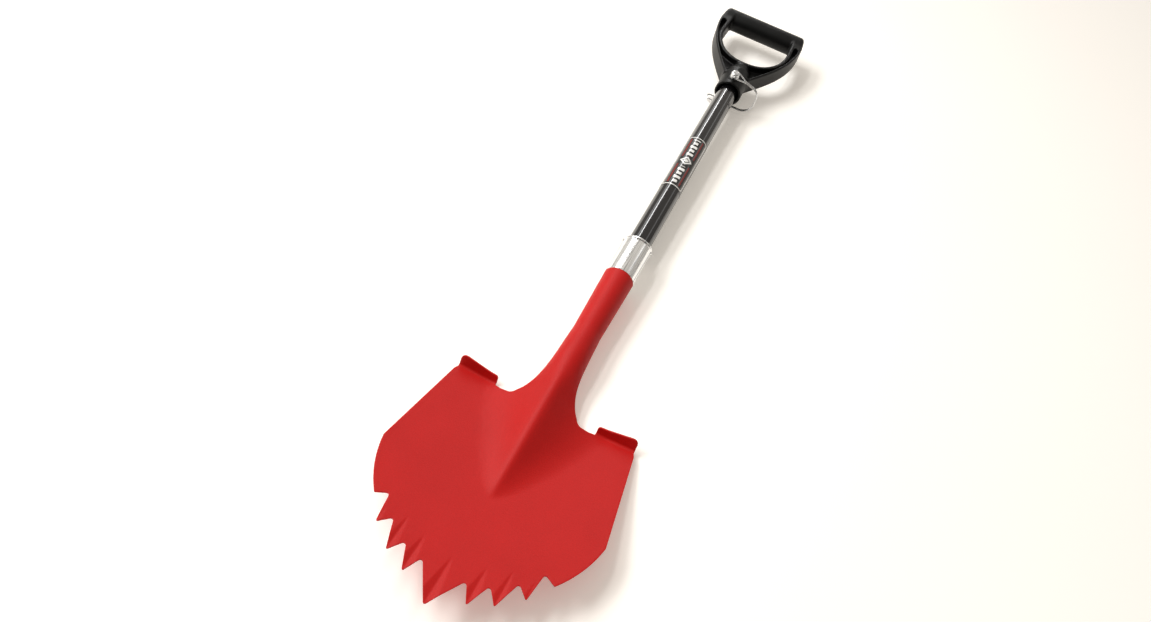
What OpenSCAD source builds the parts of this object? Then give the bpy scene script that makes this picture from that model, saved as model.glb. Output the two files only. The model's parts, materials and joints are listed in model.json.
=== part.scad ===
// Detecting shovel with a serrated pressed blade, a tube shaft and a D-handle
// held by a quick-release pin. It lies on its back: the heel of the blade and
// the lower end of the pin touch the floor at z = 0, and +X runs to the handle.

/* [Shaft] */
// Outside diameter of the shaft tube
shaft_d = 32; // [28:0.5:40]
// Wall of the shaft tube
shaft_wall = 2; // [1.5:0.1:3]
// Bare shaft between the collar and the mouth of the handle
shaft_free = 381; // [280:1:700]
// Length of shaft inside the socket
shaft_in_socket = 105; // [100:1:120]
// Length of shaft inside the handle's neck
shaft_in_neck = 55; // [45:1:62]
// Radial gap round the shaft in the socket, the sleeve and the neck
shaft_gap = 0.1; // [0.02:0.01:0.4]

/* [Label] */
// Length of the printed wrap on the shaft
label_l = 118; // [60:1:160]
// Distance from the collar's lip to the wrap
label_from_collar = 119; // [40:1:160]
// Thickness of the wrap
label_t = 0.2; // [0.1:0.05:0.6]

/* [Collar] */
// Visible length of the bright collar
collar_l = 63; // [40:1:80]
// Wall of the collar
collar_wall = 1.4; // [1:0.1:2.5]
// Wall of the reducer sleeve between collar and shaft
reducer_wall = 3.5; // [2:0.1:5]
// Length of the reducer sleeve inside the socket
reducer_in_socket = 60; // [30:1:75]
// Radius of the rolled bead round the collar's lip
bead_r = 1.6; // [1:0.1:2.5]

/* [Socket] */
// Length from the socket's mouth to the heel of the blade
socket_l = 206; // [180:1:260]
// Distance from the mouth to the throat, where the bore closes on the shaft
throat_at = 98; // [90:1:104]
// Wall of the socket
socket_wall = 2.2; // [1.6:0.1:3]
// Step from the collar down to the socket's mouth, on the radius
mouth_step = 0.3; // [0.1:0.1:1]
// Growth of the neck's half width from the throat to the shoulders
neck_taper = 4.8; // [2:0.1:8]
// Extra half width at the foot of the neck, where it sweeps into the blade
neck_flare = 11.3; // [6:0.1:16]

/* [Blade] */
// Widest width of the blade, across its side corners
blade_w = 264; // [210:1:330]
// Width across the outer ends of the foot steps
shoulder_w = 234; // [190:1:290]
// Length from the heel to the point of the centre tooth
blade_l = 266; // [225:1:320]
// Distance from the heel to the side corners
corner_at = 130; // [100:1:150]
// Thickness of the sheet
sheet_t = 2.2; // [1.6:0.1:3]
// Lift of the blade from the line of the shaft, in degrees
blade_lift = 12; // [6:0.5:16]
// Depth of the heel below the axis of the shaft
heel_drop = 23.2; // [20:0.1:28]
// Radius of the dish across the blade
dish_r = 1000; // [600:10:2000]
// Length of the raised frog, from the heel to its point
frog_l = 135; // [100:1:150]
// Half width of the frog at the heel
frog_half = 66; // [55:1:76]
// Height of the frog's ridge at the heel, above the axis of the shaft
ridge_heel = 14; // [8:0.5:16]

/* [Foot steps] */
// Distance from the blade's centre line to the inner end of a foot step
step_inner = 66; // [58:1:80]
// Height of the turned-up flange at its inner end
step_h_inner = 10; // [6:0.5:16]
// Height of the turned-up flange at its outer end
step_h_outer = 16.5; // [8:0.5:20]
// Lean of the flange away from the blade, in degrees
step_lean = 24; // [0:1:40]

/* [Teeth] */
// Radius of the arc that the side teeth's points lie on
tooth_arc_r = 116; // [95:1:140]
// Angles of the side teeth's points from the centre line
tooth_angles = [17.5, 30.7, 46, 61.8];
// Depth of the gap beside the centre tooth
gap_first = 23; // [14:0.5:28]
// Depth of the outermost gap
gap_last = 15.5; // [10:0.5:22]
// Radius at the bottom of each gap
gap_round = 2.6; // [1:0.1:3]
// Radius at the point of each tooth
tip_round = 1.2; // [0.6:0.1:2]

/* [Handle] */
// Diameter of the grip bar
grip_d = 35; // [28:0.5:38]
// Width of the hand opening
opening_w = 115; // [98:1:140]
// Length of the hand opening, from the neck side to the grip bar
opening_l = 102.5; // [85:0.5:125]
// Width of each arm at its widest bow
arm_w = 18.5; // [16:0.5:26]
// Width of each arm where it meets the grip bar
arm_end_w = 14; // [12:0.5:18]
// Distance from the mouth to the near edge of the hand opening
opening_at = 77; // [72:1:95]
// Thickness of the frame
frame_t = 29; // [22:0.5:32]
// Wall of the neck round the bore
neck_wall = 6; // [4:0.1:7.5]
// Depth of the bore from the mouth
bore_l = 60; // [56:1:66]
// Extra radius of the bore's lead-in at the mouth
lead_in = 2.6; // [1:0.1:3.5]
// Width of the rim left round the hand opening
rim_w = 6.5; // [4:0.5:7]
// Thickness of each arm's outer flange
flange_t = 3.5; // [2.5:0.5:4]
// Thickness of the web between rim and flange
web_t = 8; // [4:0.5:14]

/* [Pin and clip] */
// Diameter of the quick-release pin
pin_d = 8; // [6:0.5:10]
// Radial running gap round the pin
pin_gap = 0.05; // [0.02:0.01:0.1]
// Distance from the neck's mouth to the pin
pin_at = 15; // [12:0.5:20]
// Diameter of the pin's head
head_d = 14; // [11:0.5:18]
// Height of the pin's head
head_h = 10; // [8:0.5:14]
// Height of the seat that the pin's head rests on, above the neck
seat_h = 0.6; // [0.4:0.1:2]
// Length of pin below the neck
pin_tail = 15; // [13:0.5:22]
// Diameter of the clip's spring wire
wire_d = 2.4; // [1.8:0.1:3]
// Running gap round the wire in the pin's head
wire_gap = 0.05; // [0.02:0.01:0.1]
// Reach of the clip's looped end past the pin
tab_reach = 33; // [32.5:0.5:50]

/* [Hidden] */
$fn = 72;
eps = 0.01;

// ---- Small helpers -------------------------------------------------------
function lerp(a, b, t) = a + (b - a)*t;
function clamp01(t) = max(0, min(1, t));
function smooth(t) = let(u = clamp01(t)) u*u*(3 - 2*u);
function unit(v) = v/norm(v);

// Points of a rounded corner at b, between a and c; each corner is [x, y, radius]
function corner(a, b, c, steps = 6) =
    let(p = [b[0], b[1]],
        u = unit([a[0], a[1]] - p),
        v = unit([c[0], c[1]] - p),
        half = acos(max(-1, min(1, u*v)))/2,
        centre = p + unit(u + v)*b[2]/sin(half),
        from = p + u*b[2]/tan(half) - centre,
        to = p + v*b[2]/tan(half) - centre,
        a1 = atan2(from[1], from[0]),
        sweep = (atan2(to[1], to[0]) - a1 + 540) % 360 - 180)
    b[2] == 0 ? [p] : [for (i = [0:steps]) let(t = a1 + sweep*i/steps) centre + b[2]*[cos(t), sin(t)]];
function rounded(c, closed = true) =
    let(n = len(c))
    [for (i = [0:n - 1])
        each (!closed && (i == 0 || i == n - 1) ? [[c[i][0], c[i][1]]]
                                                : corner(c[(i + n - 1) % n], c[i], c[(i + 1) % n]))];
function mirrored(points) =
    concat(points, [for (i = [len(points) - 1:-1:0])
        if (abs(points[i][1]) > eps) [points[i][0], -points[i][1]]]);

// Points of a cubic curve, at t from 0 to 1
function bezier(p, t) =
    pow(1 - t, 3)*p[0] + 3*pow(1 - t, 2)*t*p[1] + 3*(1 - t)*t*t*p[2] + pow(t, 3)*p[3];

// A closed sheet from two grids of points, top[row][column] and under[row][column]
module sheet(top, under) {
    rows = len(top);
    cols = len(top[0]);
    n = rows*cols;
    points = concat([for (r = top) each r], [for (r = under) each r]);
    function at(i, j) = i*cols + j;
    skin = [for (i = [0:rows - 2]) for (j = [0:cols - 2])
        each [[at(i, j), at(i, j + 1), at(i + 1, j + 1)], [at(i, j), at(i + 1, j + 1), at(i + 1, j)]]];
    ends = [for (j = [0:cols - 2])
        each [[at(0, j), at(0, j) + n, at(0, j + 1) + n], [at(0, j), at(0, j + 1) + n, at(0, j + 1)],
              [at(rows - 1, j), at(rows - 1, j + 1), at(rows - 1, j + 1) + n],
              [at(rows - 1, j), at(rows - 1, j + 1) + n, at(rows - 1, j) + n]]];
    sides = [for (i = [0:rows - 2])
        each [[at(i, 0), at(i + 1, 0), at(i + 1, 0) + n], [at(i, 0), at(i + 1, 0) + n, at(i, 0) + n],
              [at(i, cols - 1), at(i, cols - 1) + n, at(i + 1, cols - 1) + n],
              [at(i, cols - 1), at(i + 1, cols - 1) + n, at(i + 1, cols - 1)]]];
    lower = [for (f = skin) [f[0] + n, f[2] + n, f[1] + n]];
    polyhedron(points, concat(skin, lower, ends, sides), convexity = 8);
}

// A round bar or hole along X, from x0 to x1
module along_x(x0, x1, r) {
    translate([x0, 0, 0]) rotate([0, 90, 0]) cylinder(r = r, h = x1 - x0);
}

// A ring turned about the X axis from an outline of [x, radius] points
module turned(outline) {
    rotate([0, 90, 0]) rotate_extrude() polygon([for (p = outline) [p[1], p[0]]]);
}

// Keeps the part above (side = 1) or below (side = -1) the plane of the shaft's axis
module half_space(side) {
    big = 600;
    translate([-big, -big/2, side > 0 ? 0 : -big]) cube([2*big, big, big]);
}

// ---- Places along the shaft, measured from the socket's mouth ------------
shaft_r = shaft_d/2;
bore_r = shaft_r + shaft_gap;
collar_r = bore_r + reducer_wall + collar_wall;
mouth_r = collar_r - mouth_step;
throat_r = bore_r + shaft_gap + socket_wall;
x_heel = -socket_l;
x_mouth = collar_l + shaft_free;
x_pin = x_mouth + pin_at;
x_end = x_mouth + opening_at + opening_l + grip_d;
x_tip = x_heel - blade_l;
neck_r = bore_r + neck_wall;
seat_z = neck_r + seat_h;
pin_low = -neck_r - pin_tail;

// ---- Blade surface -------------------------------------------------------
// Where the neck's loft meets the dished sheet, and where it meets the socket
x_join = x_heel + 6;
x_loft = -throat_at - 27;
frog_tip = x_heel - frog_l;

function neck_half(x) =
    let(t = max(0, (-throat_at - x)/(-throat_at - x_join)))
    throat_r + neck_taper*t + neck_flare*pow(t, 6);
function base_z(x, y) = -heel_drop + tan(blade_lift)*(x_heel - x) + y*y/(2*dish_r);
function ridge_line(x) = lerp(base_z(frog_tip, 0), ridge_heel, (x - frog_tip)/frog_l);
function ridge_z(x) = lerp(neck_half(x), ridge_line(x), smooth((x_loft + 5 - x)/45));
function frog_width(x) = frog_half*pow(max(0.0001, (x - frog_tip)/frog_l), 0.62);
ridge_round = 3;
function frog_z(x, y) =
    let(rise = max(0, ridge_line(x) - base_z(x, 0)),
        off = sqrt(y*y + ridge_round*ridge_round) - ridge_round)
    rise*pow(clamp01(1 - off/frog_width(x)), 1.5);
function sheet_z(x, y) = base_z(x, y) + frog_z(x, y);

// One point of the neck: a half tube that opens into the frog's roof
function neck_point(x, u) =
    let(r = neck_half(x),
        s = smooth((x_loft - x)/(x_loft - x_join)),
        tube = [x, r*sin(90*u), ridge_z(x)*cos(90*u)],
        roof = [x, r*u, sheet_z(x, r*u)])
    lerp(tube, roof, s);
function neck_normal(x, u) =
    let(a = neck_point(x - 0.5, u) - neck_point(x + 0.5, u),
        b = neck_point(x, min(1, u + 0.02)) - neck_point(x, max(-1, u - 0.02)))
    unit(cross(b, a));
function sheet_drop(x, y) =
    let(fx = (sheet_z(x + 0.5, y) - sheet_z(x - 0.5, y)),
        fy = (sheet_z(x, y + 0.5) - sheet_z(x, y - 0.5)))
    sheet_t*min(2, sqrt(1 + fx*fx + fy*fy));

// ---- Blade outline in plan, on its +Y side -------------------------------
arc_x = x_heel - corner_at - 7;
last = len(tooth_angles) - 1;
function on_arc(angle, r) = [arc_x - r*cos(angle), r*sin(angle)];
function gap_depth(i) = lerp(gap_first, gap_last, i/last);
tooth_points = [for (i = [last:-1:0])
    let(point = on_arc(tooth_angles[i], tooth_arc_r),
        gap = on_arc(tooth_angles[i] - 1.5*(i == 0 ? 1.6 : i == 1 ? 1 : 0), tooth_arc_r - gap_depth(i)))
    each [[point[0], point[1], tip_round], [gap[0], gap[1], gap_round]]];
side_corner = [x_heel - corner_at, blade_w/2];
side_tooth = on_arc(tooth_angles[last], tooth_arc_r);
side_bow = 4.3;
function side_arc(t) =
    let(d = side_tooth - side_corner)
    side_corner + d*t + unit([d[1], -d[0]])*side_bow*4*t*(1 - t);
outline_half = concat(
    [[x_join + 0.3, neck_half(x_join) - 0.3], [x_heel + 0.5, neck_half(x_join) + 5]],
    rounded([[x_heel + 0.5, neck_half(x_join) + 5, 0], [x_heel - 5, 43, 9],
             [x_heel - 4, step_inner - 8, 12], [x_heel + 0.5, step_inner, 0]], closed = false),
    [[x_heel + 0.5, shoulder_w/2]],
    [for (i = [0:6]) side_arc(i/6*0.97)],
    rounded(concat([[side_arc(0.97)[0], side_arc(0.97)[1], 0]], tooth_points, [[x_tip, 0, 2],
        [tooth_points[2*last + 1][0], -tooth_points[2*last + 1][1], 0]]), closed = false));
outline_plus = [for (p = outline_half) if (p[1] >= -eps) p];

module blade_sheet() {
    rows = 26;
    cols = 32;
    far = x_tip - 3;
    wide = blade_w/2 + 4;
    xs = [for (i = [0:rows]) lerp(x_join + 0.3, far, i/rows)];
    ys = [for (j = [0:cols]) let(v = 1 - 2*j/cols) sign(v)*wide*pow(abs(v), 1.4)];
    intersection() {
        sheet([for (x = xs) [for (y = ys) [x, y, sheet_z(x, y)]]],
              [for (x = xs) [for (y = ys) [x, y, sheet_z(x, y) - sheet_drop(x, y)]]]);
        translate([0, 0, -60]) linear_extrude(160) polygon(mirrored(outline_plus));
    }
}

module blade_neck() {
    rows = 9;
    cols = 20;
    xs = [for (i = [0:rows]) lerp(x_loft, x_join, i/rows)];
    us = [for (j = [0:cols]) 1 - 2*j/cols];
    sheet([for (x = xs) [for (u = us) neck_point(x, u)]],
          [for (x = xs) [for (u = us) neck_point(x, u) - socket_wall*neck_normal(x, u)]]);
}

// A foot step: the sheet's top edge turned up and leaning back
module foot_step() {
    inner = step_inner;
    outer = shoulder_w/2 - 1.5;
    mid = (inner + outer)/2;
    half = (outer - inner)/2;
    rake = atan((base_z(x_heel, outer) - base_z(x_heel, inner))/(outer - inner));
    flange = rounded([[-half, -1.2, 0], [half, -1.2, 0], [half, step_h_outer, 7], [-half, step_h_inner, 4]]);
    translate([x_heel + 0.5, mid, base_z(x_heel, mid) - sheet_t/2])
        rotate([rake, 0, 0])
        rotate([0, step_lean, 0])
        rotate([90, 0, -90])
        linear_extrude(sheet_t) polygon([for (p = flange) [-p[0], p[1]]]);
}

module socket_profile(x0, x1, wall) {
    throat = -throat_at;
    xs = [for (x = [x1, throat, x0]) if (x <= x1 && x >= x0) x];
    function outer(x) = x > throat ? lerp(throat_r, mouth_r, 1 - x/throat) : neck_half(x);
    turned(concat([for (x = xs) [x, outer(x)]],
                  [for (i = [len(xs) - 1:-1:0]) [xs[i], outer(xs[i]) - wall]]));
}

module blade() {
    color("firebrick") union() {
        blade_sheet();
        blade_neck();
        intersection() {
            socket_profile(x_loft - 0.3, 0, socket_wall);
            half_space(1);
        }
        foot_step();
        mirror([0, 1, 0]) foot_step();
    }
}

// Rear half of the socket, its tail tucked inside the neck
tuck_x = -shaft_in_socket - 4;
tail_r = throat_r - socket_wall - 0.3;
module socket_back() {
    color("firebrick") difference() {
        intersection() {
            union() {
                socket_profile(tuck_x, 0, socket_wall);
                turned([[tuck_x + 1, neck_half(tuck_x)], [tuck_x + 1, neck_half(tuck_x) - socket_wall],
                        [tuck_x - 9, tail_r - socket_wall], [tuck_x - 48, tail_r - socket_wall],
                        [tuck_x - 48, tail_r], [tuck_x - 8, tail_r]]);
            }
            half_space(-1);
        }
        rivet_holes();
    }
}

// ---- Rivets through the back of the socket -------------------------------
rivet_r = 2.4;
rivet_xs = [-reducer_in_socket*0.6, -throat_at + 16];
function socket_r(x) = lerp(throat_r, mouth_r, 1 + x/throat_at);
module rivet_holes() {
    for (x = rivet_xs) translate([x, 0, -collar_r - 10]) cylinder(r = rivet_r, h = collar_r + 10);
}
module socket_rivets() {
    head_r = 4.6;
    head_t = 1.8;
    tube_in = shaft_r - shaft_wall;
    upset_r = 3.6;
    color("firebrick") for (x = rivet_xs) translate([x, 0, 0]) {
        face = socket_r(x + head_r) + 0.02;
        seat = sqrt(tube_in*tube_in - upset_r*upset_r);
        translate([0, 0, -face - head_t]) cylinder(r1 = head_r - 1.4, r2 = head_r, h = head_t);
        translate([0, 0, -face - 0.5]) cylinder(r = rivet_r, h = face + 0.5 - seat + 1.2);
        translate([0, 0, -seat + 0.02]) cylinder(r1 = upset_r, r2 = upset_r - 0.6, h = 1.4);
    }
}

// ---- Collar and the sleeve inside it -------------------------------------
module collar() {
    in_r = collar_r - collar_wall;
    lip_in = bore_r + 0.2;
    color("silver") union() {
        turned([[0.1, collar_r], [0.1, in_r], [collar_l - collar_wall, in_r],
                [collar_l - collar_wall, lip_in], [collar_l, lip_in], [collar_l, collar_r]]);
        translate([collar_l - bead_r, 0, 0]) rotate([0, 90, 0])
            rotate_extrude() translate([collar_r - 0.2, 0]) circle(r = bead_r, $fn = 24);
    }
}
module reducer_sleeve() {
    top = collar_l - 2*bead_r - 0.3;
    in_collar = collar_r - collar_wall - 0.05;
    low = -reducer_in_socket;
    color("dimgray") difference() {
        turned([[top, bore_r], [top, in_collar], [0.1, in_collar], [0.1, mouth_r - socket_wall - 0.05],
                [low, socket_r(low) - socket_wall - 0.05], [low, bore_r]]);
        rivet_holes();
    }
}

// ---- Shaft and what is inside it -----------------------------------------
x_low = -shaft_in_socket;
x_high = x_mouth + shaft_in_neck;
module shaft() {
    color("black") difference() {
        along_x(x_low, x_high, shaft_r);
        along_x(x_low - 1, x_high + 1, shaft_r - shaft_wall);
        rivet_holes();
        translate([x_pin, 0, -shaft_r - 1]) cylinder(r = pin_d/2 + pin_gap, h = shaft_d + 2);
    }
}
module plug(x, side) {
    flange_t = 2.5;
    spigot_l = 16;
    translate([x, 0, 0]) mirror([side > 0 ? 0 : 1, 0, 0]) {
        along_x(0, flange_t, shaft_r - 0.1);
        difference() {
            along_x(-spigot_l, eps, shaft_r - shaft_wall - 0.05);
            along_x(-spigot_l - 1, -2, shaft_r - shaft_wall - 2.2);
        }
    }
}
module foot_plug() {
    color("dimgray") plug(x_low, -1);
}
module end_plug() {
    color("dimgray") plug(x_high, 1);
}
module pin_sleeve() {
    color("silver") difference() {
        intersection() {
            translate([x_pin, 0, -shaft_r]) cylinder(r = pin_d/2 + 2, h = shaft_d);
            along_x(x_pin - 20, x_pin + 20, shaft_r - shaft_wall - 0.03);
        }
        translate([x_pin, 0, -shaft_r - 1]) cylinder(r = pin_d/2 + pin_gap, h = shaft_d + 2);
    }
}
module label() {
    x0 = collar_l + label_from_collar;
    color("dimgray") difference() {
        along_x(x0, x0 + label_l, shaft_r + label_t);
        along_x(x0 - 1, x0 + label_l + 1, shaft_r);
    }
}

// ---- D-handle ------------------------------------------------------------
x_bar = x_end - grip_d/2;
opening_x = x_mouth + opening_at;
opening_mid = opening_x + opening_w*0.6;
arms_w = opening_w + 2*arm_w;
grip_w = opening_w + 2*arm_end_w;
arm_curve = [[x_mouth + 34, neck_r - 1], [opening_x - 1, neck_r + 25.5],
             [opening_x + 39, arms_w/2], [opening_mid + 32, arms_w/2]];
arm_steps = 14;
function arm(t) = bezier(arm_curve, t);
function arm_out(t) = let(d = unit(arm(t + 0.01) - arm(t - 0.01))) [-d[1], d[0]];
function arm_side(out) = [for (i = [0:arm_steps]) let(t = i/arm_steps) arm(t) + out*arm_out(t)];
frame_half = concat([[x_mouth + 34, 0]], arm_side(0),
    rounded([[arm(1)[0], arm(1)[1], 0], [x_end - 2.5, grip_w/2, 8], [x_end, grip_w/2 - 12, 0],
             [x_end, 0, 0]], closed = false));
// The rounded bottom of the hand opening, at an angle from its centre line
function opening_point(a) = [opening_mid - (opening_mid - opening_x)*pow(max(0, cos(a)), 0.91),
                             opening_w/2*pow(max(0, sin(a)), 0.91)];
function rim_point(a) =
    let(d = unit(opening_point(a + 0.5) - opening_point(a - 0.5)))
    opening_point(a) + rim_w*[-d[1], d[0]];
opening_half = concat([for (a = [0:7.5:82.5]) opening_point(a)],
    rounded([[opening_mid, opening_w/2, 0], [x_end + 2, opening_w/2 - 3, 0]], closed = false));

module plate(points, t) {
    translate([0, 0, -t/2]) linear_extrude(t) polygon(points);
}
// The pocket between the rim and an arm's outer flange, in both faces
module arm_pocket() {
    points = concat([for (a = [6:7:90]) rim_point(a)], [[arm(1)[0] - 4, opening_w/2 + rim_w]],
                    [for (i = [arm_steps:-1:2]) arm(i/arm_steps) - flange_t*arm_out(i/arm_steps)]);
    for (side = [-1, 1])
        translate([0, 0, side > 0 ? web_t/2 : -web_t/2 - frame_t]) linear_extrude(frame_t) polygon(points);
}
// Trims the frame's far end to the round of the grip bar
module rounded_end() {
    intersection() {
        children();
        union() {
            translate([0, -arms_w, -frame_t]) cube([x_bar, 2*arms_w, 2*frame_t]);
            translate([x_bar, -arms_w, 0]) rotate([-90, 0, 0]) cylinder(d = grip_d - 1, h = 2*arms_w);
        }
    }
}
module d_handle() {
    cone_x = x_mouth + 48;
    color([0.12, 0.12, 0.12]) difference() {
        union() {
            difference() {
                rounded_end() plate(mirrored(frame_half), frame_t);
                plate(mirrored(opening_half), frame_t + 2);
                arm_pocket();
                mirror([0, 1, 0]) arm_pocket();
            }
            translate([x_bar, -opening_w/2 - 1, 0]) rotate([-90, 0, 0])
                cylinder(d = grip_d, h = opening_w + 2);
            along_x(x_mouth, cone_x, neck_r);
            translate([cone_x - eps, 0, 0]) rotate([0, 90, 0])
                cylinder(r1 = neck_r, r2 = frame_t/2 - 1, h = opening_x - cone_x - 4);
            translate([x_pin, 0, -seat_z]) cylinder(r = head_d/2 + 1.5, h = 2*seat_z);
        }
        along_x(x_mouth - 1, x_mouth + bore_l, bore_r);
        translate([x_mouth - eps, 0, 0]) rotate([0, 90, 0])
            cylinder(r1 = bore_r + lead_in, r2 = bore_r, h = 2*lead_in);
        translate([x_pin, 0, -seat_z - 1]) cylinder(r = pin_d/2 + pin_gap, h = 2*seat_z + 2);
    }
}

// ---- Quick-release pin and its wire clip ---------------------------------
head_z = seat_z + 0.05;
pivot_z = head_z + head_h*0.62;
module pin_shank() {
    point = 2;
    color("silver") translate([x_pin, 0, 0]) {
        translate([0, 0, pin_low + point]) cylinder(d = pin_d, h = head_z - pin_low - point);
        translate([0, 0, pin_low]) cylinder(d1 = pin_d - 2.4, d2 = pin_d, h = point);
    }
}
module pin_head() {
    crown = 2;
    color("silver") translate([x_pin, 0, 0]) difference() {
        union() {
            translate([0, 0, head_z]) cylinder(d = head_d, h = head_h - crown);
            translate([0, 0, head_z + head_h - crown]) cylinder(d1 = head_d, d2 = head_d - 5, h = crown);
        }
        translate([-head_d, 0, pivot_z]) rotate([0, 90, 0]) cylinder(d = wire_d + 2*wire_gap, h = 2*head_d);
    }
}

// The clip's side view, as [y, z, corner radius]: out of the head, round the neck, under the pin
under_z = pin_low + 4.2;
clip_out = -neck_r - 24.5;
clip_side = rounded([[0, pivot_z, 0], [clip_out, pivot_z - 14, 18], [clip_out + 2, under_z + 1, 22],
                     [tab_reach, under_z + 2, 0]], closed = false);
// Lengths along that path, and points at even steps of it
clip_len = [for (i = 0, s = 0; i < len(clip_side);
    s = s + (i + 1 < len(clip_side) ? norm(clip_side[i + 1] - clip_side[i]) : 0), i = i + 1) s];
function clip_at(s) =
    let(i = max([0, for (k = [0:len(clip_len) - 2]) if (clip_len[k] <= s) k]))
    lerp(clip_side[i], clip_side[i + 1], (s - clip_len[i])/(clip_len[i + 1] - clip_len[i]));
clip_total = clip_len[len(clip_len) - 1];
leg_x = head_d/2 + wire_d/2 + 0.4;
close_x = wire_d/2 + 0.15;
eye_x = pin_d/2 + wire_d/2 + 0.5;
// Half spread of the two wires at a length s along the path
function spread(s) =
    let(p = clip_at(s),
        leg = lerp(leg_x, close_x, smooth((s - 2)/22)),
        eye = s < clip_total/2 ? 0 : (eye_x - close_x)*smooth((p[0] + 15)/11))
    s > clip_total - eye_x ? sqrt(max(0, eye_x*eye_x - pow(s - clip_total + eye_x, 2)))
                           : max(leg, close_x + eye);
clip_rings = 42;
clip_leg = [for (i = [0:clip_rings])
    let(s = clip_total*i/clip_rings, p = clip_at(s)) [spread(s), p[0], p[1]]];
clip_path = concat(clip_leg, [for (i = [clip_rings - 1:-1:0])
    [-clip_leg[i][0], clip_leg[i][1], clip_leg[i][2]]]);

// A round wire along a path of points
module wire(path, r, sides = 8) {
    n = len(path);
    function dir(i) = unit(path[min(n - 1, i + 1)] - path[max(0, i - 1)]);
    // Each ring is set square to the path, turned from the last by the least amount
    frames = [for (i = 0, up = [1, 0, 0]; i < n;
        i = i + 1, up = i < n ? unit(up - dir(i)*(up*dir(i))) : up)
        let(side = unit(up - dir(i)*(up*dir(i)))) [side, cross(dir(i), side)]];
    rings = [for (i = [0:n - 1]) for (k = [0:sides - 1])
        let(a = 360*k/sides) path[i] + r*(cos(a)*frames[i][0] + sin(a)*frames[i][1])];
    faces = [for (i = [0:n - 2]) for (k = [0:sides - 1])
        let(a = i*sides + k, b = i*sides + (k + 1) % sides)
        each [[a, b + sides, b], [a, a + sides, b + sides]]];
    polyhedron(rings, concat(faces, [[for (k = [0:sides - 1]) k]],
        [[for (k = [sides - 1:-1:0]) (n - 1)*sides + k]]), convexity = 8);
}
module wire_clip() {
    color("silver") translate([x_pin, 0, 0]) {
        wire(clip_path, wire_d/2);
        for (side = [-1, 1]) translate([side > 0 ? 1.5 : -leg_x - 0.6, 0, pivot_z])
            rotate([0, 90, 0]) cylinder(d = wire_d, h = leg_x + 0.6 - 1.5);
    }
}

// ---- The rest pose on the floor ------------------------------------------
heel_y = step_inner;
heel_z = base_z(x_heel, heel_y) - sheet_t;
rest_angle = atan((pin_low - heel_z)/(x_pin - x_heel));
rest_z = x_pin*sin(rest_angle) - pin_low*cos(rest_angle);
tip_z = base_z(x_tip, 0);
low_x = x_tip*cos(rest_angle) + tip_z*sin(rest_angle);
high_x = x_end*cos(rest_angle) - frame_t/2*sin(rest_angle);
module lying() {
    translate([-(low_x + high_x)/2, 0, rest_z]) rotate([0, rest_angle, 0]) children();
}

lying() blade();
lying() socket_back();
lying() socket_rivets();
lying() collar();
lying() reducer_sleeve();
lying() foot_plug();
lying() shaft();
lying() label();
lying() pin_sleeve();
lying() end_plug();
lying() d_handle();
lying() pin_shank();
lying() pin_head();
lying() wire_clip();
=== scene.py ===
import json
import math
import bmesh
import bpy
import numpy as np
from mathutils import Matrix, Vector
from mathutils.geometry import delaunay_2d_cdt


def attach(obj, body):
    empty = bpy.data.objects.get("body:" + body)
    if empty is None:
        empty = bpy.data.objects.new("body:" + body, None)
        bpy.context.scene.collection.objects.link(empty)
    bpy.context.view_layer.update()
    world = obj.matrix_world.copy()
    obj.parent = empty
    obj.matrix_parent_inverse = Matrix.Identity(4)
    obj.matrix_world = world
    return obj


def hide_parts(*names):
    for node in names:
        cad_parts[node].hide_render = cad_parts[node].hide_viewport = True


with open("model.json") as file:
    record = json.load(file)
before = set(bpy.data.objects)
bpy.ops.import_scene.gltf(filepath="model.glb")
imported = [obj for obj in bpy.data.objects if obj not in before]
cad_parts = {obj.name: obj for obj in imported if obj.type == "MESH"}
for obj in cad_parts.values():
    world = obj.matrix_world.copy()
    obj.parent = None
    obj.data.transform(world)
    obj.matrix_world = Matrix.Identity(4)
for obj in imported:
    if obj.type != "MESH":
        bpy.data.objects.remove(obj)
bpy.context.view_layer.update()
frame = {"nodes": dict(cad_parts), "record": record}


# ---- How the shovel lies --------------------------------------------------
# The tool rests on the heel of its blade and on the end of its pin, so its shaft is a degree off level.
# Shapes are drawn in millimetres on the shaft's own axes, with x = 0 at the socket's mouth, and lay() lays
# them down.
joints = {j["name"]: j for j in frame["record"]["behaviour"]["joints"]}
pin_x = 459.0
neck_r = 22.1
head_z = neck_r + 0.65
pivot_z = head_z + 6.2
pivot = np.array(joints["clip_swing"]["pos_m"])
across_sheet = np.array(joints["pin_pull"]["axis"])
along_shaft = np.array([across_sheet[2], 0.0, -across_sheet[0]])


def lay(points):
    """Millimetres on the shaft's own axes to metres where the shovel lies."""
    p = np.asarray(points, float) - [pin_x, 0.0, pivot_z]
    return pivot + (p[:, :1] * along_shaft + p[:, 1:2] * [0.0, 1.0, 0.0] + p[:, 2:] * across_sheet) / 1000


def smooth(t):
    """Eases from 0 to 1, level at both ends."""
    t = np.clip(t, 0.0, 1.0)
    return t * t * (3 - 2 * t)


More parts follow.
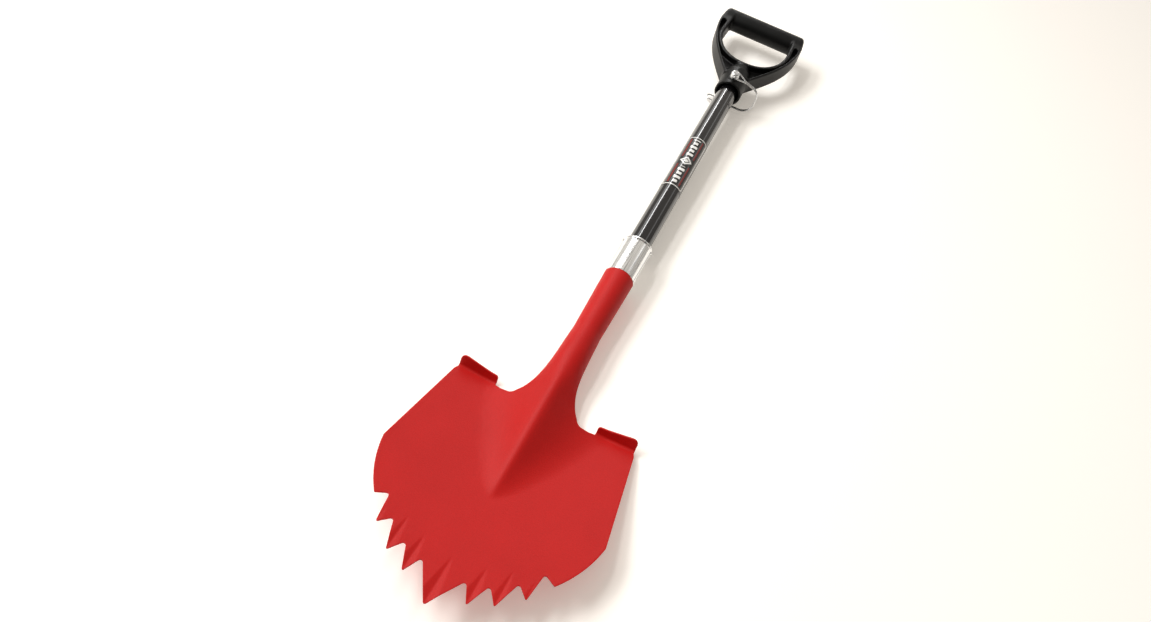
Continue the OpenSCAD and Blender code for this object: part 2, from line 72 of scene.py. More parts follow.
def eased(corners, closed=True, steps=5):
    """A flat outline whose corners, each (x, y, radius), are rounded."""
    out = []
    for i, (x, y, r) in enumerate(corners):
        b = np.array([x, y], float)
        if r == 0 or (not closed and i in (0, len(corners) - 1)):
            out.append(b)
            continue
        u = np.array(corners[i - 1][:2]) - b
        v = np.array(corners[(i + 1) % len(corners)][:2]) - b
        u, v = u / np.linalg.norm(u), v / np.linalg.norm(v)
        half = math.acos(max(-1, min(1, float(u @ v)))) / 2
        centre = b + (u + v) / np.linalg.norm(u + v) * r / math.sin(half)
        first, last = b + u * r / math.tan(half) - centre, b + v * r / math.tan(half) - centre
        a = math.atan2(first[1], first[0])
        sweep = (math.atan2(last[1], last[0]) - a + 3 * math.pi) % (2 * math.pi) - math.pi
        out += [centre + r * np.array([math.cos(a + sweep * k / steps), math.sin(a + sweep * k / steps)])
                for k in range(steps + 1)]
    return np.array(out)


def away(x, y, outline):
    """Distance from points to a closed outline, less than zero inside it."""
    x, y = np.broadcast_arrays(np.asarray(x, float), np.asarray(y, float))
    near, inside = np.full(x.shape, 1e9), np.zeros(x.shape, bool)
    for (ax, ay), (bx, by) in zip(outline, np.roll(outline, -1, 0)):
        ex, ey = bx - ax, by - ay
        t = np.clip(((x - ax) * ex + (y - ay) * ey) / (ex * ex + ey * ey + 1e-12), 0, 1)
        near = np.minimum(near, (x - ax - t * ex) ** 2 + (y - ay - t * ey) ** 2)
        if ay != by:
            inside ^= ((ay > y) != (by > y)) & (x < ax + (y - ay) * ex / ey)
    return np.where(inside, -1, 1) * np.sqrt(near)


def piece(name, points, faces, material):
    """A finished mesh from points on the shaft's axes."""
    mesh = bpy.data.meshes.new(name)
    mesh.from_pydata(lay(points).tolist(), [], faces)
    mesh.validate()
    mesh.shade_smooth()
    obj = bpy.data.objects.new(name, mesh)
    bpy.context.collection.objects.link(obj)
    mesh.materials.append(material)
    return obj


def linear(code):
    """An sRGB hex colour as linear RGBA."""
    parts = [int(code[i:i + 2], 16) / 255 for i in (1, 3, 5)]
    return tuple(c / 12.92 if c <= 0.04045 else ((c + 0.055) / 1.055) ** 2.4 for c in parts) + (1.0,)


def add(tree, kind, inputs=None, **settings):
    """Adds a node with its settings, and with values or links on its inputs."""
    made = tree.nodes.new(kind)
    for key, value in settings.items():
        setattr(made, key, value)
    for key, value in (inputs or {}).items():
        if isinstance(value, bpy.types.NodeSocket):
            tree.links.new(value, made.inputs[key])
        else:
            made.inputs[key].default_value = value
    return made


def finish_of(name, **surface):
    """A new material, its node tree and its surface shader."""
    material = bpy.data.materials.new(name)
    material.use_nodes = True
    tree = material.node_tree
    shader = tree.nodes["Principled BSDF"]
    for key, value in surface.items():
        shader.inputs[key.replace("_", " ")].default_value = value
    return material, tree, shader


# ---- Blade ----------------------------------------------------------------
# One pressing of 2.2 mm hardened steel: a dished plate with a raised frog, rolled into the front of the
# socket, with turned-up foot steps and teeth sheared along both sides. Powder coated red after forming.
heel_x, tip_x, sheet = -206.0, -472.0, 2.2
throat_x, throat_r, mouth_r = -98.0, 18.4, 20.7
join_x, loft_x = -200.0, -125.0
frog_tip, frog_l, ridge_high = -341.0, 135, 14
plate_slope, step_slope, heel_z, dish_r = 12, 66, -23.2, 1000
frog_half_w, groove_half_w = 77, 10.5
step_inner, step_outer = 66.0, 115.5
bend_r, bend_turn = 3.5, math.radians(plate_slope + step_slope)
bend_x = heel_x - 2.6
bend_run = bend_r * bend_turn
# Each tooth's angle round the cutting edge, its depth, and how far the notch behind it leans back.
teeth = [(17.5, 23.0, 2.4), (30.7, 20.5, 1.5), (46.0, 18.0, 0), (61.8, 15.5, 0)]
arc_x, arc_r = heel_x - 137, 116


def half_width(x):
    """Half the width of the neck at x, or the socket's radius above the throat."""
    t = np.maximum(0, (throat_x - x) / (throat_x - join_x))
    neck = throat_r + 4.8 * t + 11.3 * t ** 6
    return np.where(x > throat_x, throat_r + (mouth_r - throat_r) * (1 - x / throat_x), neck)


def plate_z(x, y):
    """Height of the plain plate, which rises towards its tip and is dished across."""
    return heel_z + math.tan(math.radians(plate_slope)) * (heel_x - x) + y * y / (2 * dish_r)


def ridge_line(x):
    """Height of the frog's ridge, straight from its tip in the plate up into the neck."""
    low = plate_z(frog_tip, 0.0)
    return low + (ridge_high - low) * (x - frog_tip) / frog_l


def folds(x, y):
    """Shallow grooves pressed along the centre of each tooth, running out at its point."""
    sink = np.zeros_like(x)
    for at_x, at_y, length, strength in creases:
        along = np.clip((at_x + length - x) / length, 0, 1.15)
        off = np.sqrt((y - at_y) ** 2 + 0.25) - 0.5
        reach = strength * groove_half_w * along ** 0.8
        sink += 0.27 * (np.sqrt(np.maximum(0, reach - off) ** 2 + 0.16) - 0.4) * (off < reach)
    return sink


def sheet_z(x, y):
    """Height of the pressed sheet: the plate, the frog falling off from its ridge, and the teeth's grooves."""
    width = frog_half_w * np.maximum(1e-4, (x - frog_tip) / frog_l) ** 0.62
    rise = np.maximum(0, ridge_line(x) - plate_z(x, 0.0))
    blunt = 3 + 5 * smooth((x - frog_tip) / frog_l)
    off = np.sqrt(y * y + blunt * blunt) - blunt
    return plate_z(x, y) + rise * np.clip(1 - off / width, 0, 1) ** 2 - folds(x, y)


def pressing(x, w):
    """Where a point of the flat blank ends up: x runs along the blank and w across it."""
    x, w = np.asarray(x, float), np.asarray(w, float)
    r = half_width(x)
    u = np.clip(w / r, -1, 1)
    top = r + (ridge_line(x) - r) * smooth((loft_x + 5 - x) / 45)
    tube = np.stack([x, r * np.sin(u * math.pi / 2), top * np.cos(u * math.pi / 2)], -1)
    plate = np.stack([x, w, sheet_z(x, w)], -1)
    blend = np.where(x > join_x, smooth((loft_x - x) / (loft_x - join_x)), 1.0)[..., None]
    done = tube + (plate - tube) * blend
    run = np.maximum(0, x - bend_x)
    turn = np.minimum(run / bend_r, bend_turn)
    start = -math.radians(plate_slope)
    rest = np.maximum(0, run - bend_run)
    step_x = bend_x + bend_r * (np.sin(start + turn) - math.sin(start)) + rest * np.cos(start + turn)
    step_z = (sheet_z(np.minimum(x, bend_x), w) + bend_r * (math.cos(start) - np.cos(start + turn))
              + rest * np.sin(start + turn))
    folded = np.stack([step_x, w, step_z], -1)
    return np.where(((np.abs(w) > step_inner - 1.5) & (x > bend_x))[..., None], folded, done)


def on_arc(angle, r):
    """A point at an angle and a distance from the centre of the toothed edge."""
    return np.array([arc_x - r * math.cos(math.radians(angle)), r * math.sin(math.radians(angle))])


saw = []
for angle, depth, lean in teeth[::-1]:
    saw += [(*on_arc(angle, arc_r), 1.2), (*on_arc(angle - lean, arc_r - depth), 2.6)]
side_corner, side_tooth = np.array([heel_x - 130, 132.0]), on_arc(teeth[3][0], arc_r)
chord = side_tooth - side_corner
bulge = np.array([chord[1], -chord[0]]) / np.linalg.norm(chord) * 4.3
side = [side_corner + chord * t + bulge * 4 * t * (1 - t) for t in np.linspace(0, 0.97, 14)]
creases = [(tip_x, 0.0, 54, 1.0)] + [(*on_arc(teeth[i][0], arc_r) * [1, hand], length, strength)
                                    for i, length, strength in ((0, 42, 0.85), (1, 40, 0.7), (2, 22, 0.35))
                                    for hand in (1, -1)]
neck_side = [(x, float(half_width(x))) for x in np.linspace(0, join_x, 70)]
# The steps' heights are set off from here, past what the bend takes up of the blank.
step_top = bend_x + 1.93 - 0.4
half_blank = np.concatenate([
    neck_side,
    eased([(join_x, neck_side[-1][1], 0), (heel_x + 0.5, neck_side[-1][1] + 5, 1.5),
           (heel_x - 5, 43, 9), (heel_x - 4, step_inner - 8, 12), (bend_x + 0.5, step_inner, 1.2),
           (step_top + 10.5, step_inner, 4), (step_top + 17, step_outer, 7), (bend_x, step_outer, 1),
           (heel_x - 8, 117.7, 3), (*side[0], 0)], closed=False)[1:],
    side[1:-1],
    eased([(*side[-1], 0)] + saw + [(tip_x, 0, 2), (saw[-1][0], -saw[-1][1], 0)], closed=False)])
half_blank = half_blank[half_blank[:, 1] > 0.02]


def stepped(line, most):
    """The same line with points no further apart than most."""
    out = []
    for a, b in zip(line[:-1], line[1:]):
        n = max(1, math.ceil(np.linalg.norm(b - a) / most))
        out += [a + (b - a) * k / n for k in range(n)]
    return np.array(out + [line[-1]])


half_blank = stepped(half_blank, 2.2)
blank = np.concatenate([half_blank, half_blank[::-1] * [1, -1]])
mouth_points = [(0.0, w) for w in np.linspace(-mouth_r, mouth_r, 30)[1:-1]]
blank = np.concatenate([blank, mouth_points])


def grid(low, high, step, across):
    """Points of a flat grid."""
    return np.stack(np.meshgrid(np.arange(low, high, step), across), -1).reshape(-1, 2)


step_w = np.arange(67, 115, 2.4)
bend_w = np.arange(67.2, 115, 2.4)
neck_w = np.linspace(-0.96, 0.96, 31)
# Fine at the teeth and round the steps' bends, coarser over the plate and the neck.
rows = [grid(-473, -398, 1.25, np.arange(-110, 110.1, 1.25)),
        grid(-397, -201, 2.4, np.arange(-132, 132.1, 2.4)),
        grid(-201.5, bend_x + 24, 0.9, np.concatenate([step_w, -step_w])),
        grid(bend_x - 2, bend_x + 8, 0.6, np.concatenate([bend_w, -bend_w])),
        np.array([(x, u * float(half_width(x))) for x in np.arange(-199, -1, 3.0) for u in neck_w])]
for at_x, at_y, length, strength in creases:
    rows.append(np.array([(at_x + t, at_y) for t in np.arange(2.5, length + 6, 1.2)]))
inner = np.concatenate(rows)
inner = inner[away(inner[:, 0], inner[:, 1], blank) < -0.75]
_, first = np.unique(np.round(inner / 0.55).astype(int), axis=0, return_index=True)
inner = inner[np.sort(first)]
flat = np.concatenate([blank, inner])
loop = list(range(len(blank)))
cut = delaunay_2d_cdt([Vector(p) for p in flat.tolist()], [], [loop], 1, 1e-5)
flat = np.array([tuple(v) for v in cut[0]])
skin_faces = [tuple(f) for f in cut[2]]

top = pressing(flat[:, 0], flat[:, 1])
reach = 0.25
slope_x = pressing(flat[:, 0] + reach, flat[:, 1]) - pressing(flat[:, 0] - reach, flat[:, 1])
slope_w = pressing(flat[:, 0], flat[:, 1] + reach) - pressing(flat[:, 0], flat[:, 1] - reach)
face_up = np.cross(slope_x, slope_w)
face_up /= np.linalg.norm(face_up, axis=1)[:, None] + 1e-12
# The underside lies square to the sheet in the neck and the steps, and straight down on the plate, whose
# edge is sheared upright.
down = np.stack([np.zeros(len(top)), np.zeros(len(top)), sheet / np.maximum(0.5, face_up[:, 2])], -1)
on_plate = smooth((heel_x - 6 - flat[:, 0]) / 8)[:, None]
under = top - sheet * face_up * (1 - on_plate) - down * on_plate
count = len(flat)
edges = {}
for f in skin_faces:
    for a, b in zip(f, f[1:] + f[:1]):
        edges[(a, b)] = edges.get((a, b), 0) + 1
rim = [(a, b) for (a, b) in edges if (b, a) not in edges]
area = sum((flat[f[1]][0] - flat[f[0]][0]) * (flat[f[2]][1] - flat[f[0]][1])
           - (flat[f[1]][1] - flat[f[0]][1]) * (flat[f[2]][0] - flat[f[0]][0]) for f in skin_faces)
if area < 0:
    skin_faces = [f[::-1] for f in skin_faces]
    rim = [(b, a) for a, b in rim]
blade_faces = (skin_faces + [tuple(i + count for i in f[::-1]) for f in skin_faces]
               + [(b, a, a + count, b + count) for a, b in rim])

# Polyester powder coat, sprayed and baked: satin, with a fine orange-peel texture about a millimetre across.
powder, tree, shader = finish_of("red_powder_coat_on_steel", Roughness=0.5, Specular_IOR_Level=0.2)
place = add(tree, "ShaderNodeTexCoord").outputs["Object"]
cloud = add(tree, "ShaderNodeTexNoise", {"Vector": place, "Scale": 22.0, "Detail": 2.0})
tone = add(tree, "ShaderNodeValToRGB", {"Fac": cloud.outputs["Fac"]})
tone.color_ramp.elements[0].position, tone.color_ramp.elements[1].position = 0.3, 0.7
tone.color_ramp.elements[0].color, tone.color_ramp.elements[1].color = linear("#B8110E"), linear("#BD1310")
speck = add(tree, "ShaderNodeTexNoise", {"Vector": place, "Scale": 950.0, "Detail": 2.0})
depth = add(tree, "ShaderNodeMapRange", {"Value": speck.outputs["Fac"], "To Min": 0.8, "To Max": 1.2})
shade = add(tree, "ShaderNodeHueSaturation", {"Color": tone.outputs["Color"],
                                              "Value": depth.outputs["Result"]})
tree.links.new(shade.outputs["Color"], shader.inputs["Base Color"])
peel = add(tree, "ShaderNodeTexNoise", {"Vector": place, "Scale": 750.0, "Detail": 2.0, "Roughness": 0.6})
bump = add(tree, "ShaderNodeBump", {"Height": peel.outputs["Fac"], "Strength": 0.5, "Distance": 0.0004})
tree.links.new(bump.outputs["Normal"], shader.inputs["Normal"])
sheen = add(tree, "ShaderNodeMapRange", {"Value": peel.outputs["Fac"], "To Min": 0.46, "To Max": 0.60})
tree.links.new(sheen.outputs["Result"], shader.inputs["Roughness"])

blade = piece("blade_pressing", np.concatenate([top, under]), blade_faces, powder)
soften = blade.modifiers.new("sheared_edge", "BEVEL")
soften.width = 0.0005
soften.segments = 2
soften.limit_method = "ANGLE"
soften.angle_limit = math.radians(50)
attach(blade, "root")
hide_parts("blade")


# ---- Rear half of the socket ----------------------------------------------
# A rolled half shell of the same sheet, butt welded to the pressing along both sides and ground flush.
# Its tail is tucked up inside the neck behind the frog.
def turned(outline, start=0.0, sweep=360.0, around=128, axis="x", at=(0.0, 0.0)):
    """Points and faces of a shape turned from a closed outline of (place along the axis, radius)."""
    outline = np.asarray(outline, float)[:, :2]
    whole = sweep >= 360
    turns = around if whole else around + 1
    angles = np.radians(start + sweep * np.arange(turns) / around)
    n = len(outline)
    points = []
    for a in angles:
        for t, r in outline:
            y, z = r * math.sin(a), r * math.cos(a)
            points.append((t, y, z) if axis == "x" else (at[0] + y, at[1] + z, t))
    faces = []
    for i in range(around):
        j = (i + 1) % turns
        for k in range(n):
            m = (k + 1) % n
            faces.append((i * n + k, i * n + m, j * n + m, j * n + k))
    if not whole:
        faces += [tuple(range(n))[::-1], tuple((turns - 1) * n + k for k in range(n))]
    return points, faces


def lathe(name, outline, material, **how):
    """A finished turned piece, with its poles closed and its edges sharp."""
    obj = piece(name, *turned(outline, **how), material)
    work = bmesh.new()
    work.from_mesh(obj.data)
    bmesh.ops.remove_doubles(work, verts=work.verts, dist=1e-6)
    bmesh.ops.dissolve_degenerate(work, edges=work.edges, dist=1e-7)
    bmesh.ops.recalc_face_normals(work, faces=work.faces)
    work.to_mesh(obj.data)
    work.free()
    obj.data.shade_smooth()
    obj.data.set_sharp_from_angle(angle=math.radians(40))
    return obj


tuck_x, tail_r = -109.0, 15.9
tuck_r = float(half_width(tuck_x))
shell = [(0, mouth_r, 0.5), (throat_x, throat_r, 0), (tuck_x + 1, tuck_r, 1), (tuck_x - 8, tail_r, 2),
         (tuck_x - 48, tail_r, 0.6), (tuck_x - 48, tail_r - sheet, 0.6), (tuck_x - 9, tail_r - sheet, 2),
         (tuck_x + 1, tuck_r - sheet, 1), (throat_x, throat_r - sheet, 0), (0, mouth_r - sheet, 0.5)]
socket_back = lathe("socket_back_shell", eased(shell), powder, start=90, sweep=180, around=72)
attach(socket_back, "root")
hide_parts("socket_back")


# ---- Rivets ----------------------------------------------------------------
# Two domed steel rivets hold the tube in the socket from the back. Each has a low dome outside, a shank
# through both walls and an upset end inside the tube, and is coated with the blade.
def rivet_tree():
    """Puts a rivet on each point and turns it to face one way."""
    tree = bpy.data.node_groups.new("rivets", "GeometryNodeTree")
    tree.interface.new_socket("Geometry", in_out="INPUT", socket_type="NodeSocketGeometry")
    sizes = {name: tree.interface.new_socket(name, in_out="INPUT", socket_type="NodeSocketFloat").identifier
             for name in ("Head radius", "Dome height", "Shank radius", "Shank length", "Upset radius")}
    facing = tree.interface.new_socket("Facing", in_out="INPUT", socket_type="NodeSocketVector")
    skin = tree.interface.new_socket("Material", in_out="INPUT", socket_type="NodeSocketMaterial")
    tree.interface.new_socket("Geometry", in_out="OUTPUT", socket_type="NodeSocketGeometry")
    given = add(tree, "NodeGroupInput").outputs
    length = given["Shank length"]
    bottom = add(tree, "ShaderNodeMath", {0: length, 1: -1.0}, operation="MULTIPLY").outputs[0]
    middle = add(tree, "ShaderNodeMath", {0: bottom, 1: 0.5}, operation="MULTIPLY").outputs[0]
    domes = []
    for radius, height in ((given["Head radius"], 0.0), (given["Upset radius"], bottom)):
        ball = add(tree, "GeometryNodeMeshUVSphere", {"Segments": 40, "Rings": 20, "Radius": radius})
        flat = add(tree, "ShaderNodeMath", {0: given["Dome height"], 1: given["Head radius"]},
                   operation="DIVIDE")
        low = add(tree, "ShaderNodeCombineXYZ", {"X": 1.0, "Y": 1.0, "Z": flat.outputs[0]})
        at = add(tree, "ShaderNodeCombineXYZ", {"X": 0.0, "Y": 0.0, "Z": height})
        dome = add(tree, "GeometryNodeTransform", {"Geometry": ball.outputs["Mesh"], "Scale": low.outputs[0],
                                                   "Translation": at.outputs[0]})
        domes.append(dome.outputs[0])
    bar = add(tree, "GeometryNodeMeshCylinder",
              {"Vertices": 40, "Radius": given["Shank radius"], "Depth": length}).outputs["Mesh"]
    centre = add(tree, "ShaderNodeCombineXYZ", {"X": 0.0, "Y": 0.0, "Z": middle}).outputs[0]
    shank = add(tree, "GeometryNodeTransform", {"Geometry": bar, "Translation": centre}).outputs[0]
    whole = add(tree, "GeometryNodeJoinGeometry")
    for part in (*domes, shank):
        tree.links.new(part, whole.inputs[0])
    turn = add(tree, "FunctionNodeAlignRotationToVector", {"Vector": given["Facing"]}, axis="Z")
    placed = add(tree, "GeometryNodeInstanceOnPoints",
                 {"Points": given["Geometry"], "Instance": whole.outputs[0], "Rotation": turn.outputs[0]})
    real = add(tree, "GeometryNodeRealizeInstances", {"Geometry": placed.outputs[0]})
    soft = add(tree, "GeometryNodeSetShadeSmooth", {"Geometry": real.outputs[0]})
    done = add(tree, "GeometryNodeSetMaterial", {"Geometry": soft.outputs[0], "Material": given["Material"]})
    add(tree, "NodeGroupOutput", {0: done.outputs[0]})
    return tree, {**sizes, "Facing": facing.identifier, "Material": skin.identifier}


def grown(name, mesh, tree, values):
    """Runs a node tree on a mesh and keeps the result as a plain mesh."""
    obj = bpy.data.objects.new(name, mesh)
    bpy.context.collection.objects.link(obj)
    run = obj.modifiers.new("grow", "NODES")
    run.node_group = tree
    for key, value in values.items():
        run[key] = value
    bpy.context.view_layer.update()
    made = bpy.data.meshes.new_from_object(obj.evaluated_get(bpy.context.evaluated_depsgraph_get()))
    obj.modifiers.remove(run)
    obj.data = made
    made.name = name
    return obj


rivet_x = (-36.0, -82.0)
rivet_points = bpy.data.meshes.new("rivet_places")
rivet_points.from_pydata(lay([(x, 0, -float(half_width(x))) for x in rivet_x]).tolist(), [], [])
tree, ids = rivet_tree()
rivets = grown("socket_rivet_heads", rivet_points, tree,
               {ids["Head radius"]: 0.0046, ids["Dome height"]: 0.0019, ids["Shank radius"]: 0.0024,
                ids["Shank length"]: 0.0078, ids["Upset radius"]: 0.0036,
                ids["Facing"]: tuple(-across_sheet), ids["Material"]: powder})
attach(rivets, "root")
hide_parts("socket_rivets")


# ---- Collar ----------------------------------------------------------------
# A drawn stainless ferrule over the top of the socket, its lip rolled back to a bright bead and its bore
# closed in on the tube. Polished lengthwise, which leaves fine lines along it.
collar_r, collar_l = 21.0, 63.0
ferrule = [(0.1, collar_r, 0.4), (collar_l - 4.2, collar_r, 0.3), (collar_l - 3.4, collar_r + 1.5, 1.2),
           (collar_l - 0.1, collar_r + 1.5, 1.5), (collar_l, collar_r - 1.6, 1.4),
           (collar_l - 1.2, 17.2, 1.0), (collar_l - 0.4, 16.35, 0.3), (collar_l - 1.5, 16.3, 0.3),
           (collar_l - 1.9, 17.6, 0.8), (collar_l - 2.2, 19.6, 0.8), (0.1, 19.6, 0.3)]
steel, tree, shader = finish_of("polished_stainless_steel", Metallic=1.0, Roughness=0.25)
place = add(tree, "ShaderNodeTexCoord").outputs["Object"]
drawn = add(tree, "ShaderNodeMapping", {"Vector": place, "Scale": (6.0, 900.0, 900.0)})
lines = add(tree, "ShaderNodeTexNoise", {"Vector": drawn.outputs["Vector"], "Scale": 1.0, "Detail": 3.0})
tint = add(tree, "ShaderNodeValToRGB", {"Fac": lines.outputs["Fac"]})
tint.color_ramp.elements[0].position, tint.color_ramp.elements[1].position = 0.35, 0.5
tint.color_ramp.elements[0].color, tint.color_ramp.elements[1].color = linear("#DCDEE0"), linear("#FBFBFA")
# Painted reflection: a stretched noise darkens the steel's base colour in lengthwise bands, which stand in for
# dark surroundings mirrored in the polished ferrule.
wide = add(tree, "ShaderNodeMapping", {"Vector": place, "Scale": (4.0, 210.0, 210.0)})
reflection_band_noise = add(tree, "ShaderNodeTexNoise", {"Vector": wide.outputs["Vector"], "Scale": 1.0, "Detail": 1.0})
painted_reflection_bands = add(tree, "ShaderNodeMapRange", {"Value": reflection_band_noise.outputs["Fac"], "From Min": 0.34, "From Max": 0.44,
                                        "To Min": 0.45, "To Max": 1.0})
shade = add(tree, "ShaderNodeHueSaturation", {"Color": tint.outputs["Color"],
                                              "Value": painted_reflection_bands.outputs["Result"]})
tree.links.new(shade.outputs["Color"], shader.inputs["Base Color"])
wear = add(tree, "ShaderNodeMapRange", {"Value": lines.outputs["Fac"], "To Min": 0.16, "To Max": 0.34})
tree.links.new(wear.outputs["Result"], shader.inputs["Roughness"])
bump = add(tree, "ShaderNodeBump", {"Height": lines.outputs["Fac"], "Strength": 0.03, "Distance": 0.0001})
tree.links.new(bump.outputs["Normal"], shader.inputs["Normal"])
collar = lathe("collar_ferrule", eased(ferrule), steel, around=160)
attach(collar, "root")
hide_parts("collar")


# ---- Shaft -----------------------------------------------------------------
# Welded steel tube, 32 mm across and 2 mm thick, from inside the socket up into the handle's neck. Gloss
# black stove enamel, which reflects in long lines with a slight ripple.
shaft_r, shaft_wall, shaft_low, shaft_high = 16.0, 2.0, -105.0, 499.0
tube = [(shaft_low, shaft_r, 0.5), (shaft_high, shaft_r, 0.5), (shaft_high, shaft_r - shaft_wall, 0.4),
        (shaft_low, shaft_r - shaft_wall, 0.4)]
enamel, tree, shader = finish_of("gloss_black_stove_enamel", Roughness=0.13, Coat_Weight=0.5,
                                 Coat_Roughness=0.04)
place = add(tree, "ShaderNodeTexCoord").outputs["Object"]
drift = add(tree, "ShaderNodeMapping", {"Vector": place, "Scale": (5.0, 60.0, 60.0)})
cloud = add(tree, "ShaderNodeTexNoise", {"Vector": drift.outputs["Vector"], "Scale": 1.0, "Detail": 3.0})
tone = add(tree, "ShaderNodeValToRGB", {"Fac": cloud.outputs["Fac"]})
tone.color_ramp.elements[0].color, tone.color_ramp.elements[1].color = linear("#050506"), linear("#0C0C0D")
tree.links.new(tone.outputs["Color"], shader.inputs["Base Color"])
wear = add(tree, "ShaderNodeMapRange", {"Value": cloud.outputs["Fac"], "To Min": 0.10, "To Max": 0.22})
tree.links.new(wear.outputs["Result"], shader.inputs["Roughness"])
ripple = add(tree, "ShaderNodeTexNoise", {"Vector": place, "Scale": 260.0, "Detail": 1.0})
bump = add(tree, "ShaderNodeBump", {"Height": ripple.outputs["Fac"], "Strength": 0.012, "Distance": 0.0003})
tree.links.new(bump.outputs["Normal"], shader.inputs["Normal"])
shaft = lathe("shaft_tube", eased(tube), enamel, around=160)
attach(shaft, "root")
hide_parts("shaft")


# ---- Label -----------------------------------------------------------------
# A gloss vinyl film wrapped once round the tube, 118 mm long and printed in white and dark red. Its border,
# stripes, bars and lozenge are plain shapes.
label_x, label_l, label_r = 182.0, 118.0, 16.2
around_label, along_label = 144, 40
points, faces = [], []
for r in (label_r, shaft_r + 0.01):
    for i in range(along_label + 1):
        for j in range(around_label):
            a = 2 * math.pi * j / around_label
            points.append((label_x + label_l * i / along_label, r * math.sin(a), r * math.cos(a)))
ring = (along_label + 1) * around_label
for i in range(along_label):
    for j in range(around_label):
        k = (j + 1) % around_label
        a, b = i * around_label + j, i * around_label + k
        c, d = b + around_label, a + around_label
        faces += [(a, d, c, b), (a + ring, b + ring, c + ring, d + ring)]
for j in range(around_label):
    k = (j + 1) % around_label
    end = along_label * around_label
    faces += [(j, k, k + ring, j + ring), (end + j, end + j + ring, end + k + ring, end + k)]

vinyl, tree, shader = finish_of("gloss_printed_vinyl", Roughness=0.18, Coat_Weight=0.3, Coat_Roughness=0.06)
# The print is laid out in millimetres: s runs round the tube from the middle of the print, t along it.
map_uv = add(tree, "ShaderNodeUVMap", uv_map="print").outputs["UV"]
flat_uv = add(tree, "ShaderNodeSeparateXYZ", {"Vector": map_uv})


def calc(operation, a, b=0.0):
    """One step of arithmetic in the label's material."""
    return add(tree, "ShaderNodeMath", {0: a, 1: b}, operation=operation).outputs[0]


s = calc("MULTIPLY", calc("SUBTRACT", flat_uv.outputs["X"], 0.5), 2 * math.pi * label_r)
t = calc("MULTIPLY", calc("SUBTRACT", flat_uv.outputs["Y"], 0.5), label_l)
s_size, t_size = calc("ABSOLUTE", s), calc("ABSOLUTE", t)


def within(value, low, high):
    """1 where the value is between two limits, else 0."""
    return calc("MULTIPLY", calc("GREATER_THAN", value, low), calc("LESS_THAN", value, high))


panel_s, panel_t, panel_corner, bar_pitch = 18.4, 56.5, 5, 9.0
corner_s = calc("MAXIMUM", calc("SUBTRACT", s_size, panel_s - panel_corner), 0.0)
corner_t = calc("MAXIMUM", calc("SUBTRACT", t_size, panel_t - panel_corner), 0.0)
corner_at = calc("ADD", calc("MULTIPLY", corner_s, corner_s), calc("MULTIPLY", corner_t, corner_t))
edge_at = calc("SQRT", corner_at)
border = within(edge_at, 3.6, 5.2)
in_panel = calc("LESS_THAN", edge_at, 3.6)
slant = calc("FRACT", calc("MULTIPLY", calc("ADD", s, t), 0.62))
hatch = calc("MULTIPLY", calc("GREATER_THAN", slant, 0.55), within(s, -16.6, -11.6))
stripe = calc("ADD", within(s, -10.6, -8.0), within(s, 8.2, 10.8))
stripe_l = calc("MULTIPLY", calc("LESS_THAN", t_size, 52.0), calc("GREATER_THAN", t_size, 9.0))
stripe = calc("MULTIPLY", stripe, stripe_l)
bar_step = calc("MULTIPLY", t, 1 / bar_pitch)
bar_on = calc("GREATER_THAN", calc("FRACT", bar_step), 0.42)
tall = calc("MULTIPLY", calc("FRACT", calc("MULTIPLY", calc("FLOOR", bar_step), 0.5)), 2.0)
bar_half = calc("ADD", calc("MULTIPLY", tall, 1.6), 3.6)
bars = calc("MULTIPLY", bar_on, calc("LESS_THAN", s_size, bar_half))
bars = calc("MULTIPLY", bars, within(t_size, 13.0, 51.0))
lozenge_at = calc("ADD", calc("MULTIPLY", s_size, 0.9), t_size)
lozenge = calc("SUBTRACT", calc("LESS_THAN", lozenge_at, 9.0), within(lozenge_at, 3.6, 5.6))
white = calc("MINIMUM", calc("ADD", calc("ADD", border, bars), calc("MAXIMUM", lozenge, 0.0)), 1.0)


def printed(below, above, share):
    """Lays one ink over another where share is 1."""
    mix = add(tree, "ShaderNodeMix", data_type="RGBA")
    colours = [k for k in mix.inputs if k.type == "RGBA"]
    tree.links.new(share, mix.inputs["Factor"])
    for socket, value in zip(colours, (below, above)):
        if isinstance(value, bpy.types.NodeSocket):
            tree.links.new(value, socket)
        else:
            socket.default_value = value
    return next(k for k in mix.outputs if k.type == "RGBA")


colour = printed(linear("#0B0B0C"), linear("#1B1A1A"), in_panel)
colour = printed(colour, linear("#4A4644"), hatch)
colour = printed(colour, linear("#7E211C"), stripe)
colour = printed(colour, linear("#E9E9E6"), white)
tree.links.new(colour, shader.inputs["Base Color"])
label = piece("shaft_label", points, faces, vinyl)
sheet_uv = label.data.uv_layers.new(name="print")
# The middle of the print faces forward, and its hidden back seam is where the map wraps round.
for face in label.data.polygons:
    corners = [label.data.loops[k].vertex_index for k in face.loop_indices]
    around = [((i % around_label) / around_label + 0.5) % 1.0 for i in corners]
    if max(around) - min(around) > 0.5:
        around = [a + 1.0 if a < 0.5 else a for a in around]
    for k, i, a in zip(face.loop_indices, corners, around):
        sheet_uv.data[k].uv = (a, ((i % ring) // around_label) / along_label)
label.data.set_sharp_from_angle(angle=math.radians(40))
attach(label, "root")
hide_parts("label")


